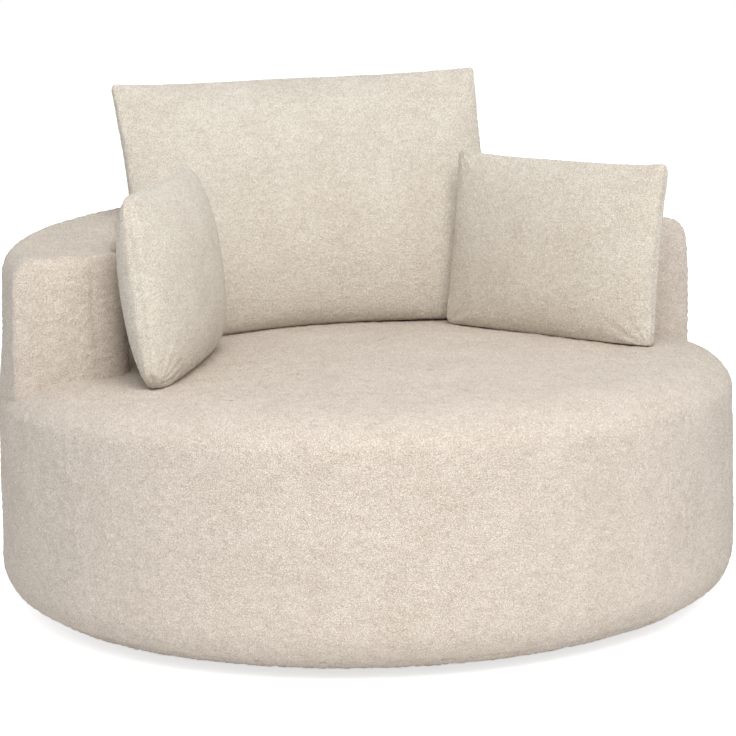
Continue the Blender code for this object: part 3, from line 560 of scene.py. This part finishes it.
def quarter(radius, depth):
    """How far a quarter circle of that radius draws in at a depth from its end."""
    return radius - np.sqrt(radius ** 2 - np.clip(radius - depth, 0, radius) ** 2)


def back_top(back, azimuth):
    """Height of the back's top, which rises from its ends to its middle with the cosine squared."""
    return back.height + back.rise * np.cos(np.clip(azimuth, -math.pi / 2, math.pi / 2)) ** 2


def back_wall(drum, back, azimuth, height, draw):
    """Radius of the back's leaning inner wall at a height, drawn in square to the wall.

    Towards the ends a smooth step makes the arms thicker and their walls more upright.
    """
    arm = np.clip((np.abs(azimuth) - back.arm_start) / (back.arm_full - back.arm_start), 0, 1)
    arm = arm ** 2 * (3 - 2 * arm)
    inner = drum.radius - back.inset - back.thickness - back.arm_swell * arm
    slope = math.tan(back.lean) * (1 - back.arm_upright * arm)
    return inner + (height - back.foot) * slope + draw / math.cos(back.lean)


class LOUNGE_OT_back(bpy.types.Operator):
    """Cover the half-ring back: a rounded section carried round the azimuth, drawn in at both ends"""

    bl_idname = "lounge.back"
    bl_label = "Back upholstery"
    sink = 0.012  # how far the walls go on below the drum's fabric, and are tucked in there
    swell = 0.005  # how far the outer wall swells near the ends
    lap = 0.002  # how far the flared foot stands proud of the drum's wall
    tuck_start = 0.96  # share of the outer wall's drop at which the tuck starts
    end_steps, arc_steps = 15, 12
    waves = ((0.0012, 0.25, 8), (0.0006, 0.1, 9))

    def execute(self, context):
        settings = context.scene.lounge
        drum, back = settings.drum, settings.back
        middle = drum.radius - back.inset - back.thickness / 2
        depth = back.end_rounding * (1 - np.cos(np.linspace(0, math.pi / 2, self.end_steps)))
        ends = back.half_angle - depth / middle
        between = np.linspace(ends[-1], -ends[-1], round(2 * ends[-1] * drum.radius / back.cell))[1:-1]
        azimuth = np.concatenate([ends, between, -ends[::-1]])
        depth = np.concatenate([depth, np.full(len(between), back.end_rounding), depth[::-1]])
        inner, over, outer = self.sides(drum, back, azimuth, depth[:, None])
        rungs = np.linspace(0, 1, over.shape[1])[1:-1, None]
        below = outer[:, -1:] + rungs * (inner[:, :1] - outer[:, -1:])
        rings = np.concatenate([inner, over[:, 1:], outer[:, 1:], below], 1)
        size = rings.shape[1]
        table, cap = self.end_panel(inner[0], over[0], outer[0], below[0])
        dome = back.half_angle + back.end_dome / middle * cap[:, 2]
        reach = np.concatenate([rings[..., 0].ravel(), cap[:, 0], cap[:, 0]])
        around = self.slanted(drum, back, np.concatenate([np.repeat(azimuth, size), dome, -dome]), reach)
        height = np.concatenate([rings[..., 1].ravel(), cap[:, 1], cap[:, 1]])
        points = np.stack([reach * np.sin(around), reach * np.cos(around), height], -1)
        last = (len(rings) - 1) * size
        near_panel = np.where(table < size, table, table + last)
        far_panel = np.where(table < size, table + last, table + last + len(cap))
        walls = grid_quads(len(rings), size, round_columns=True)
        quads = np.concatenate([walls, table_quads(near_panel), table_quads(far_panel)[:, ::-1]])
        points += uneven(points, self.waves)[:, None] * outwards(points)
        piece = mesh_piece("back_upholstery", points, quads)
        ruffle(piece, settings.fabric.pile, PILE_SEED + 1)
        material = boucle("back boucle", settings.fabric, offset=(1.3, 0.4, 0.7))
        dress(piece, "seat", material, "boucle_fabric", "back_cover", "back_foam")
        return {"FINISHED"}

    def sides(self, drum, back, azimuth, depth):
        """Outlines at all azimuths as three rows of points: up the leaning inner wall, over the top and
        down the outer wall, which flares to the drum's wall with the square of the drop, near the ends
        swells with a sine instead, and is tucked in along its foot.

        Near an end the outline draws in as a quarter circle does at that depth from the end, on the
        inside by the end's rounding, and outside and on top by its edge. The rows part in the middle
        of the two rounded edges, and both walls end a little below the seat's fabric.
        """
        draw, edge = (quarter(radius, depth) for radius in (back.end_rounding, back.end_edge))
        outer = drum.radius - back.inset - edge
        top = back_top(back, azimuth)[:, None] - edge
        crisp = edge / back.end_edge
        corners = (back.outer_rounding, back.inner_rounding)
        far, near = (corner + (back.end_edge - corner) * crisp for corner in corners)
        turn = azimuth[:, None]
        wall = back_wall(drum, back, turn, top - near, draw) + near / math.cos(back.lean)
        sunk = seat_level(drum, back_wall(drum, back, turn, back.foot, draw), 0.0) - self.sink
        foot = np.stack([back_wall(drum, back, turn, sunk, draw), sunk], -1)
        steps = self.arc_steps
        drop = np.append(np.linspace(0, self.tuck_start, steps), 1)
        height = top - far + drop * (drum.wall_top - self.sink - top + far)
        away = np.clip((back.half_angle - np.abs(turn)) / back.end_fade, 0, 1)
        flare = away * (back.inset - drum.taper + self.lap) * drop ** 2
        bulge = (1 - away) * self.swell * np.sin(math.pi * drop)
        face = outer + flare + bulge - self.sink * (drop == 1)
        fall = np.stack(np.broadcast_arrays(face, height), -1)
        half = 0.75 * math.pi - back.lean / 2
        inner_edge, outer_edge = (wall, top - near), (outer - far, top - far)
        up = np.concatenate([foot, arc(inner_edge, near, math.pi - back.lean, half, steps)], 1)
        over = np.concatenate([arc(inner_edge, near, half, math.pi / 2, steps),
                               arc(outer_edge, far, math.pi / 2, math.pi / 4, steps)], 1)
        down = np.concatenate([arc(outer_edge, far, math.pi / 4, 0, steps), fall[:, 1:]], 1)
        rows = round((back.height - drum.wall_top) / back.cell)
        columns = round(back.thickness / back.cell)
        parts = ((up, rows), (over, columns), (down, rows))
        return [np.array([resample(line, count=count) for line in lines]) for lines, count in parts]

    def slanted(self, drum, back, azimuth, reach):
        """Azimuths with the ends slanted: turned back with the radius, fading out away from the ends."""
        thickness = back.thickness + back.arm_swell
        share = np.clip((reach - drum.radius + back.inset) / thickness + 1, 0, 1)
        near = np.clip((np.abs(azimuth) - back.half_angle) / back.end_fade + 1, 0, 1)
        return azimuth - np.sign(azimuth) * back.end_slant * share * near ** 2

    def end_panel(self, inner, over, outer, below):
        """Fill an end's outline: a grid blended from its four sides, minus the blend of its corners.

        Gives the table of point numbers, bottom row first, and the new points as radius, height and
        share of the dome, which is 1 in the middle and 0 at the outline.
        """
        rows, columns = len(inner), len(over)
        size = 2 * (rows + columns) - 4
        table = np.empty((rows, columns), int)
        table[:, 0] = np.arange(rows)
        table[-1] = rows - 1 + np.arange(columns)
        table[:, -1] = 2 * rows + columns - 3 - np.arange(rows)
        table[0, 1:-1] = size - np.arange(1, columns - 1)
        table[1:-1, 1:-1] = size + np.arange((rows - 2) * (columns - 2)).reshape(rows - 2, columns - 2)
        u = np.linspace(0, 1, columns)[None, 1:-1, None]
        v = np.linspace(0, 1, rows)[1:-1, None, None]
        left, right = inner[1:-1, None], outer[-2:0:-1, None]
        low, high = below[None, ::-1], over[None, 1:-1]
        bottom = (1 - u) * inner[0] + u * outer[-1]
        corners = (1 - v) * bottom + v * ((1 - u) * over[0] + u * over[-1])
        grid = (1 - u) * left + u * right + (1 - v) * low + v * high - corners
        dome = np.sqrt(16 * u * (1 - u) * v * (1 - v))
        return table, np.concatenate([grid, dome], -1).reshape(-1, 3)


def cushion_sheets(cushion, stuffing, slack, columns=73, rows=53):
    """Front and rear sheets of a cushion on its foot: X across, Y backwards, Z up.

    The crown rises from the edge with 1 - u^2 and 1 - v^2, each to its own power, the edges draw in
    between the corners with 1 - v^2 and 1 - u^4, high powers of u and v round the corners off, and the
    sides bend forwards with the square of their distance from the middle. slack takes some of the
    crown away.
    """
    u = np.sin(np.linspace(-1, 1, columns) * math.pi / 2)[:, None]
    v = np.sin(np.linspace(-1, 1, rows) * math.pi / 2)[None, :]
    draw = np.where(v > 0, stuffing.top_draw, stuffing.bottom_draw)
    half_width, half_height = cushion.width / 2, cushion.height / 2
    side_cut = cushion.corner * np.abs(v) ** (half_height / cushion.corner)
    top_cut = cushion.corner * np.abs(u) ** (half_width / cushion.corner)
    x = (half_width - side_cut) * u * (1 - stuffing.side_draw * (1 - v ** 2))
    z = half_height + (half_height - top_cut) * v * (1 - draw * (1 - u ** 4))
    power = stuffing.crown + (stuffing.top_crown - stuffing.crown) * np.clip(v, 0, 1)
    crown = np.clip(1 - u ** 2, 0, 1) ** stuffing.side_crown * np.clip(1 - v ** 2, 0, 1) ** power
    swell = stuffing.edge / 2 + ((cushion.depth - stuffing.edge) / 2 - slack) * crown
    reach = -cushion.bend * (2 * x / cushion.width) ** 2
    back, up = reach * math.cos(cushion.lean), reach * math.sin(cushion.lean)
    return np.stack([x, back - swell, z + up], -1), np.stack([x, back + swell, z + up], -1)


def seam_line(front, rear):
    """Points along a cushion's edge, half way between its sheets."""
    middle = (front + rear) / 2
    return np.concatenate([middle[0], middle[-1], middle[:, 0], middle[:, -1]])


def pillow(name, front, rear):
    """A closed mesh of two sheets and the narrow band between their edges."""
    columns, rows = front.shape[:2]
    quads = grid_quads(columns, rows)
    index = np.arange(columns * rows).reshape(columns, rows)
    edge = np.concatenate([index[:, 0], index[-1, 1:], index[-2::-1, -1], index[0, -2:0:-1]])
    beside = np.roll(edge, -1)
    far = columns * rows
    band = np.stack([edge, edge + far, beside + far, beside], -1)
    points = np.concatenate([front.reshape(-1, 3), rear.reshape(-1, 3)])
    return mesh_piece(name, points, np.concatenate([quads[:, ::-1], quads + far, band]))


def baked(piece):
    """The piece's mesh as its modifiers leave it, with the modifiers taken off."""
    mesh = bpy.data.meshes.new_from_object(piece.evaluated_get(bpy.context.evaluated_depsgraph_get()))
    piece.modifiers.clear()
    old, piece.data = piece.data, mesh
    bpy.data.meshes.remove(old)


def corner_tucks(points, sheet, stuffing, rays=14):
    """Depth of the tucks at a sheet's four corners: cosine rays that rise and fade with the distance."""
    depth = np.zeros(len(points))
    for corner in (sheet[0, 0], sheet[0, -1], sheet[-1, 0], sheet[-1, -1]):
        x, _, z = (points - corner).T
        far = np.hypot(x, z) / stuffing.tuck_reach
        depth += stuffing.tuck * np.cos(rays * np.arctan2(z, x)) * far * np.exp(1 - far)
    return depth


def distance_to(points, line):
    """Distance of each point from the nearest point of a line: the square of a difference, written out."""
    square = (points ** 2).sum(1)[:, None] - 2 * points @ line.T + (line ** 2).sum(1)
    return np.sqrt(np.maximum(square.min(1), 0))


def blow_up(piece, seam, most, held=0.004, fading=0.012, steps=10, frames=20):
    """Cloth under pressure, pinned at the seam, for some frames; no point may move further than most.

    The pinning is full up to a distance from the seam, and then fades out in steps.
    """
    start = mesh_rows(piece.data, "co")
    pinned = np.clip(1 - (distance_to(start, seam) - held) / fading, 0, 1)
    group = piece.vertex_groups.new(name="seam")
    for step in range(1, steps + 1):
        chosen = np.nonzero(np.round(pinned * steps) == step)[0]
        group.add(chosen.tolist(), step / steps, "REPLACE")
    cloth = piece.modifiers.new("cloth", "CLOTH")
    cloth.settings.vertex_group_mass = "seam"
    cloth.settings.use_pressure = True
    cloth.settings.uniform_pressure_force = 4
    cloth.settings.effector_weights.gravity = 0
    cloth.settings.tension_stiffness = 20
    cloth.settings.compression_stiffness = 12
    cloth.settings.bending_stiffness = 0.4
    cloth.point_cache.frame_end = frames
    for number in range(1, frames + 1):
        bpy.context.scene.frame_set(number)
    baked(piece)
    bpy.context.scene.frame_set(1)
    move = mesh_rows(piece.data, "co") - start
    far = np.linalg.norm(move, axis=1)
    move_to(piece.data, start + move * np.minimum(1, most / np.maximum(far, 1e-9))[:, None])


def clear_of_chair(drum, back, points, back_gap=0.0015, seat_gap=0.0005):
    """Points held above the seat and in front of the back's leaning inner wall, rounded top and ends."""
    x, y, z = points.T
    radius, azimuth = np.hypot(x, y), np.arctan2(x, y)
    top = back_top(back, azimuth)
    corner = back.inner_rounding
    level = top - corner
    middle = drum.radius - back.inset - back.thickness / 2
    draw = quarter(back.end_rounding, np.maximum(back.half_angle - np.abs(azimuth), 0) * middle)
    near = back_wall(drum, back, azimuth, level, draw) + corner / math.cos(back.lean)
    rise = np.clip(z - level, 0, corner)
    shoulder = near - np.sqrt(corner ** 2 - rise ** 2)
    straight = z < level + corner * math.sin(back.lean)
    wall = np.where(straight, back_wall(drum, back, azimuth, z, draw), shoulder) - back_gap
    beside = (np.abs(azimuth) < back.half_angle) & (z < top)
    keep = np.where(beside, np.minimum(radius, wall), radius) / np.maximum(radius, 1e-9)
    x, y = x * keep, y * keep
    return np.stack([x, y, np.maximum(z, seat_level(drum, x, y) + seat_gap)], -1)


class LOUNGE_OT_cushions(bpy.types.Operator):
    """Stuff the three loose cushions: a crowned pillow form, remeshed and blown up as cloth"""

    bl_idname = "lounge.cushions"
    bl_label = "Loose cushions"

    def execute(self, context):
        settings = context.scene.lounge
        for number, name in enumerate(CUSHION_NAMES):
            self.stuff(settings, name, getattr(settings, name), number)
        return {"FINISHED"}

    def stuff(self, settings, name, cushion, number):
        """Make one cushion in its own frame, then stand it on the seat."""
        stuffing = settings.stuffing
        front, rear = cushion_sheets(cushion, stuffing, stuffing.slack)
        seam = seam_line(front, rear)
        piece = pillow(name, front, rear)
        remesh = piece.modifiers.new("remesh", "REMESH")
        remesh.mode = "VOXEL"
        remesh.voxel_size = stuffing.voxel
        baked(piece)
        blow_up(piece, seam, stuffing.swell)
        stance = Matrix.Rotation(cushion.turn, 4, "Z") @ Matrix.Rotation(-cushion.lean, 4, "X")
        stance = Matrix.Translation(cushion.foot) @ stance @ Matrix.Rotation(-cushion.tilt, 4, "Y")
        turned = np.array(stance)
        smooth = piece.modifiers.new("smooth", "SUBSURF")
        smooth.levels = smooth.render_levels = 1
        baked(piece)
        points = mesh_rows(piece.data, "co")
        near = distance_to(points, seam) / stuffing.seam_width
        sewn = stuffing.seam_depth * np.exp(-near ** 2) + corner_tucks(points, front, stuffing)
        points -= sewn[:, None] * mesh_rows(piece.data, "normal")
        points = points @ turned[:3, :3].T + turned[:3, 3]
        move_to(piece.data, clear_of_chair(settings.drum, settings.back, points))
        ruffle(piece, settings.fabric.pile / 2, PILE_SEED + 2 + number)
        piece.data.shade_smooth()
        fabric, offset = settings.fabric, (0.31 * number, 2.0, 0.17 * number)
        # The cushions' fabric is made lighter by painted light, not by a different dye
        material = boucle(f"{name} boucle", fabric, offset, tone=fabric.cushion_painted_light)
        dress(piece, name, material, "boucle_fabric", f"{name}_cover", f"{name}_fill")


class LOUNGE_OT_dust_cloth(bpy.types.Operator):
    """Hang the thin cloth under the deck: a flat ring that sags between its edges and puckers at its rim"""

    bl_idname = "lounge.dust_cloth"
    bl_label = "Dust cloth"
    rings, turns = 28, 240
    staples, pucker = 40, 0.0012

    def execute(self, context):
        cloth = context.scene.lounge.dust_cloth
        (_, _, bottom), (_, _, top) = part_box("dust_cloth")
        reach = np.linspace(0, 1, self.rings)
        line = np.concatenate([reach, reach[::-1]])
        level = np.repeat([bottom, top], self.rings)
        azimuth = np.linspace(0, 2 * math.pi, self.turns + 1)[:-1, None]
        pucker = self.pucker * np.cos(self.staples * azimuth) * line ** 5 * (1 - line) ** 0.5
        height = level - cloth.sag * 4 * line * (1 - line) + pucker
        radius = cloth.hole + (cloth.rim - cloth.hole) * line
        points = np.stack([radius * np.sin(azimuth), radius * np.cos(azimuth), height], -1).reshape(-1, 3)
        quads = grid_quads(len(azimuth), len(line), round_columns=True, round_rows=True)
        piece = mesh_piece("dust_cloth_sheet", points, quads)
        material = plain("dust cloth", (0.03, 0.03, 0.03), (0.012, 0.012, 0.012), 0.9, 600)
        dress(piece, "seat", material, "dust_cloth", "dust_cloth")
        return {"FINISHED"}


def plain(name, tone, dark, roughness, scale, stretch=(1, 1, 1), metallic=0.0):
    """A finish with one grain: noise, stretched along the grain, between two tones and as fine bump."""
    paint = Paint(bpy.data.materials.new(name))
    where = paint.mapped(paint.place(), Scale=stretch)
    grain = paint.noise(where, scale, detail=4.0, roughness=0.6)
    paint.set(Base_Color=paint.mix(paint.ramp(grain, low=0.3, high=0.7), dark, tone), Metallic=metallic)
    spread = 0.2
    paint.set(Roughness=paint.ramp(grain, low=0.0, high=1.0) * spread + (roughness - spread / 2))
    paint.bump(grain, strength=0.2, distance=0.0006)
    return paint.owner


class LOUNGE_OT_inner_finishes(bpy.types.Operator):
    """Finish the solids that stay: timber, boards, webbing, felt, steel and plastic"""

    bl_idname = "lounge.inner_finishes"
    bl_label = "Inner finishes"
    # By slot: light tone, dark tone, roughness, scale of the grain, stretch along it and metallic
    looks = {
        "pine": ((0.66, 0.47, 0.27), (0.5, 0.32, 0.16), 0.65, 60, (1, 1, 0.08)),
        "plywood": ((0.55, 0.37, 0.2), (0.42, 0.27, 0.14), 0.6, 45, (0.12, 1, 1)),
        "plinth_board": ((0.03, 0.03, 0.03), (0.018, 0.018, 0.018), 0.55, 220),
        "fibreboard": ((0.38, 0.27, 0.16), (0.28, 0.19, 0.11), 0.8, 300),
        "webbing": ((0.06, 0.06, 0.065), (0.02, 0.02, 0.022), 0.85, 400),
        "felt": ((0.33, 0.33, 0.34), (0.2, 0.2, 0.21), 0.95, 500),
        "zip_plastic": ((0.68, 0.6, 0.5), (0.5, 0.43, 0.34), 0.7, 700),
        "black_plastic": ((0.035, 0.035, 0.035), (0.02, 0.02, 0.02), 0.45, 350),
        "steel": ((0.62, 0.63, 0.65), (0.45, 0.46, 0.48), 0.35, 150, (1, 1, 1), 1.0),
    }

    def execute(self, context):
        finishes = {slot: plain(slot.replace("_", " "), *look) for slot, look in self.looks.items()}
        slots = {row["node"]: row["material_slot"] for row in frame["record"]["subparts"]}
        for node, solid in frame["nodes"].items():
            if slots[node] in finishes:
                solid.data.materials.clear()
                solid.data.materials.append(finishes[slots[node]])
        return {"FINISHED"}


class LOUNGE_OT_stage(bpy.types.Operator):
    """Set the floor, the even light all round, the large lamp in front and the camera"""

    bl_idname = "lounge.stage"
    bl_label = "Stage"

    def execute(self, context):
        stage = context.scene.lounge.stage
        self.floor(stage)
        self.sky(context.scene, stage)
        turn = stage.camera_turn
        across = np.array([math.cos(turn), -math.sin(turn), 0])
        ahead = np.array([math.sin(turn), math.cos(turn), 0])
        aside, along, up = stage.key_place
        self.lamp(stage, aside * across + along * ahead + up * UP)
        self.camera(context, stage, across, ahead)
        context.scene.view_settings.view_transform = "Standard"
        return {"FINISHED"}

    def floor(self, stage):
        """A wide pale floor, lifted to white for the camera without losing the shadow."""
        corners = FLOOR_REACH * np.array([(-1, -1), (1, -1), (1, 1), (-1, 1)])
        points = np.column_stack([corners, np.full(4, -FLOOR_DROP)])
        floor = mesh_piece("floor", points, np.array([[0, 1, 2, 3]]))
        paint = Paint(bpy.data.materials.new("pale floor"))
        paint.set(Base_Color=(0.9, 0.9, 0.9), Roughness=0.9, Specular_IOR_Level=0.1, Emission_Strength=1.0)
        seen = paint.node("ShaderNodeLightPath", output="Is Camera Ray")
        paint.set(Emission_Color=seen * stage.floor_glow)
        floor.data.materials.append(paint.owner)

    def sky(self, scene, stage):
        """Even light from all round, which the camera and reflections see as white."""
        scene.world = bpy.data.worlds.new("even light")
        paint = Paint(scene.world, "Background")
        paint.set(Color=stage.sky_tone, Strength=stage.sky)
        rays = ("Is Camera Ray", "Is Glossy Ray", "Is Transmission Ray")
        camera, glossy, through = (paint.node("ShaderNodeLightPath", output=ray) for ray in rays)
        white = paint.node("ShaderNodeBackground", None, {"Color": (1, 1, 1), "Strength": 1.0})
        even = Value(paint, paint.shader.outputs[0])
        seen = paint.node("ShaderNodeMixShader", None, {0: camera | glossy | through, 1: even, 2: white})
        paint.feed(paint.tree.nodes["World Output"].inputs["Surface"], seen)

    def lamp(self, stage, where):
        """A square lamp that faces the chair's middle."""
        light = bpy.data.lights.new("key lamp", "AREA")
        light.energy, light.size, light.color = stage.key, stage.key_size, stage.key_tone
        lamp = bpy.data.objects.new("key lamp", light)
        bpy.context.scene.collection.objects.link(lamp)
        lamp.matrix_world = facing(where, LAMP_AIM * UP - where, UP)

    def camera(self, context, stage, across, ahead):
        """The camera at the photograph's place: turned about the axis, looking down, a little rolled."""
        right = math.cos(stage.yaw) * across - math.sin(stage.yaw) * ahead
        level = math.sin(stage.yaw) * across + math.cos(stage.yaw) * ahead
        forward = math.cos(stage.pitch) * level - math.sin(stage.pitch) * UP
        up = math.sin(stage.pitch) * level + math.cos(stage.pitch) * UP
        rolled = math.cos(stage.roll) * up - math.sin(stage.roll) * right
        lens = bpy.data.cameras.new("camera")
        lens.sensor_width, lens.lens, lens.clip_end = SENSOR_WIDTH, stage.focal, 100
        camera = bpy.data.objects.new("camera", lens)
        context.scene.collection.objects.link(camera)
        where = stage.camera_height * UP - stage.distance * ahead
        camera.matrix_world = facing(where, forward, rolled)
        context.scene.camera = camera


def facing(where, forward, up):
    """A frame at a point whose -Z looks forward and whose Y is nearest to up."""
    forward = forward / np.linalg.norm(forward)
    right = np.cross(forward, up)
    right /= np.linalg.norm(right)
    matrix = np.eye(4)
    matrix[:3, :3] = np.column_stack([right, np.cross(right, forward), -forward])
    matrix[:3, 3] = where
    return Matrix(matrix.tolist())


class LOUNGE_PT_panel(bpy.types.Panel):
    """Lists the chair's makers"""

    bl_idname = "LOUNGE_PT_panel"
    bl_label = "Lounge chair"
    bl_space_type = "VIEW_3D"
    bl_region_type = "UI"
    bl_category = "Lounge"

    def draw(self, context):
        for maker in MAKERS:
            self.layout.operator(maker.bl_idname)


MAKERS = (LOUNGE_OT_stage, LOUNGE_OT_drum, LOUNGE_OT_back, LOUNGE_OT_cushions, LOUNGE_OT_dust_cloth,
          LOUNGE_OT_inner_finishes)
CLASSES = (*GROUPS.values(), LoungeSettings, *MAKERS, LOUNGE_PT_panel)


def register():
    for item in CLASSES:
        bpy.utils.register_class(item)
    bpy.types.Scene.lounge = PointerProperty(type=LoungeSettings)


def unregister():
    del bpy.types.Scene.lounge
    for item in reversed(CLASSES):
        bpy.utils.unregister_class(item)


def main():
    """Register, make the stage and the pieces in order, and write down both boxes."""
    register()
    for maker in MAKERS:
        getattr(bpy.ops.lounge, maker.bl_idname.split(".")[1])()


if __name__ == "__main__":
    main()
